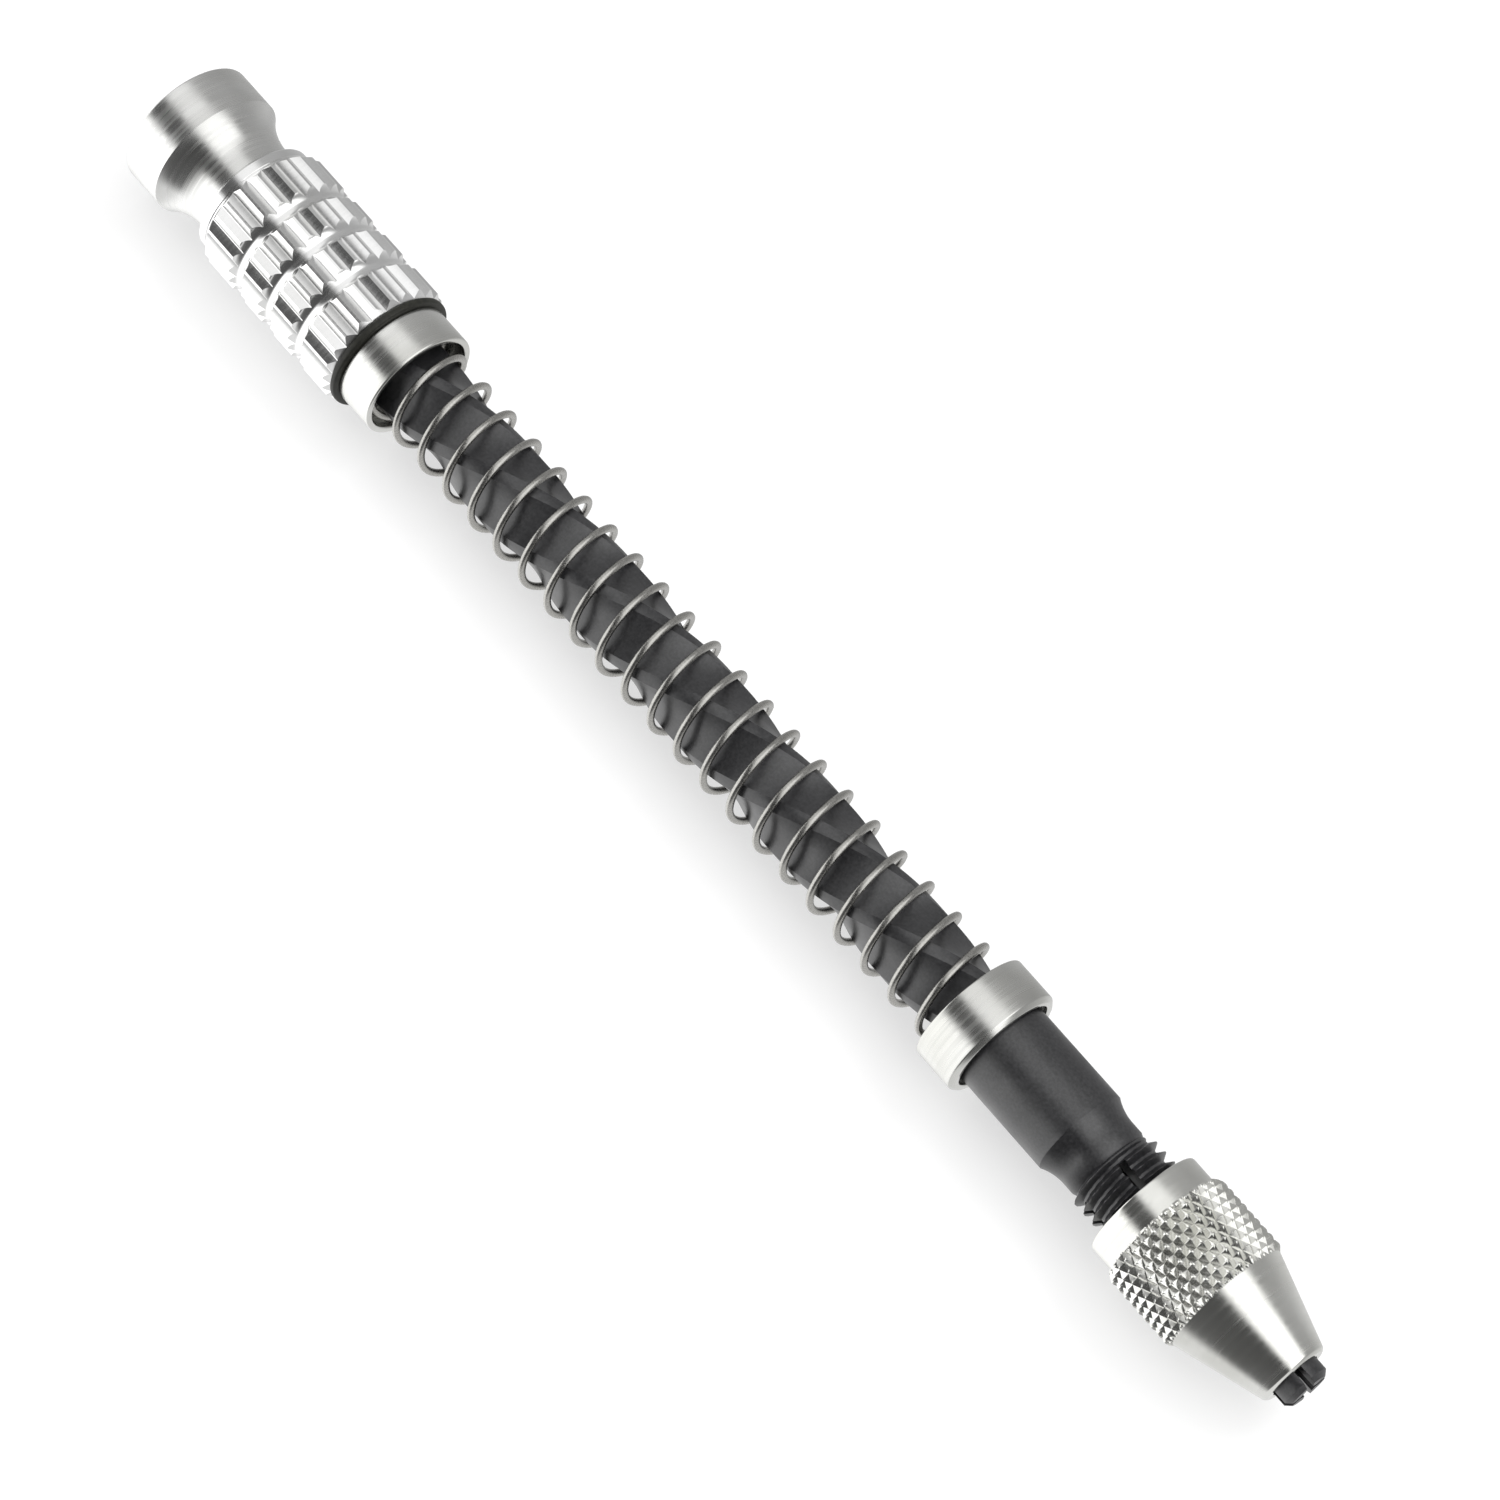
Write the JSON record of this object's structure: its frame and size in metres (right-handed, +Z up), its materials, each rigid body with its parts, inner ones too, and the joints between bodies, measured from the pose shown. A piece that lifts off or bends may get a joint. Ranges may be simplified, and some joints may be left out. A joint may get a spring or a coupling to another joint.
{
  "type": "pin vise drill",
  "caption": "Spring-return push drill: pressing its handle down a spiral rod turns a small split chuck; swivel head, fluted grip, knurled chuck nut.",
  "frame": {"origin": "under the middle of the drill, on the surface that it lies on", "axes": "+X along the drill's axis towards the chuck, +Z up, Y across"},
  "size_m": [0.11, 0.0098, 0.0097],
  "materials": {
    "aluminium": "turned satin",
    "bright_aluminium": "bright machined",
    "brushed_aluminium": "brushed round the axis",
    "black_steel": "black oxide",
    "spring_steel": "drawn wire",
    "steel": "plain",
    "brass": "plain",
    "rubber": "matt"
  },
  "bodies": {
    "handle": {"grip_sleeve": "bright_aluminium", "grip_o_ring": "rubber", "upper_collar": "brushed_aluminium", "drive_nut": "black_steel", "drive_nut_pins": "steel", "upper_spring_washer": "steel", "return_spring": "spring_steel", "head_snap_ring": "steel", "head_thrust_washer": "brass"},
    "head": {"head_knob": "aluminium"},
    "spring_cup": {"lower_collar": "brushed_aluminium", "lower_spring_washer": "steel", "collar_thrust_washer": "steel"},
    "spindle": {"spiral_rod": "black_steel", "rod_stop_washer": "steel", "rod_stop_clip": "steel", "rod_cross_pin": "steel", "chuck_body": "black_steel", "collar_circlip": "black_steel"},
    "nut": {"chuck_nut": "bright_aluminium"}
  },
  "joints": [
    {"name": "head_swivel", "type": "hinge", "parent": "handle", "child": "head", "pos_m": [-0.05, 0, 0.00487], "axis": [1, 0, 0], "continuous": true},
    {"name": "plunge", "type": "slide", "parent": "handle", "child": "spring_cup", "axis": [-1, 0, 0], "range_m": [0, 0.016], "stiffness_N_per_m": 113, "springref_m": -0.008, "deforming": ["return_spring"]},
    {"name": "spiral_turn", "type": "hinge", "parent": "spring_cup", "child": "spindle", "pos_m": [0.03, 0, 0.00487], "axis": [1, 0, 0], "range_deg": [0, 144.1]},
    {"name": "nut_turn", "type": "hinge", "parent": "spindle", "child": "nut", "pos_m": [0.045, 0, 0.00487], "axis": [1, 0, 0], "range_deg": [-90, 720]}
  ],
  "couplings": [
    {"joint": "spiral_turn", "follows": "plunge", "rad_per_m": 157.08}
  ]
}
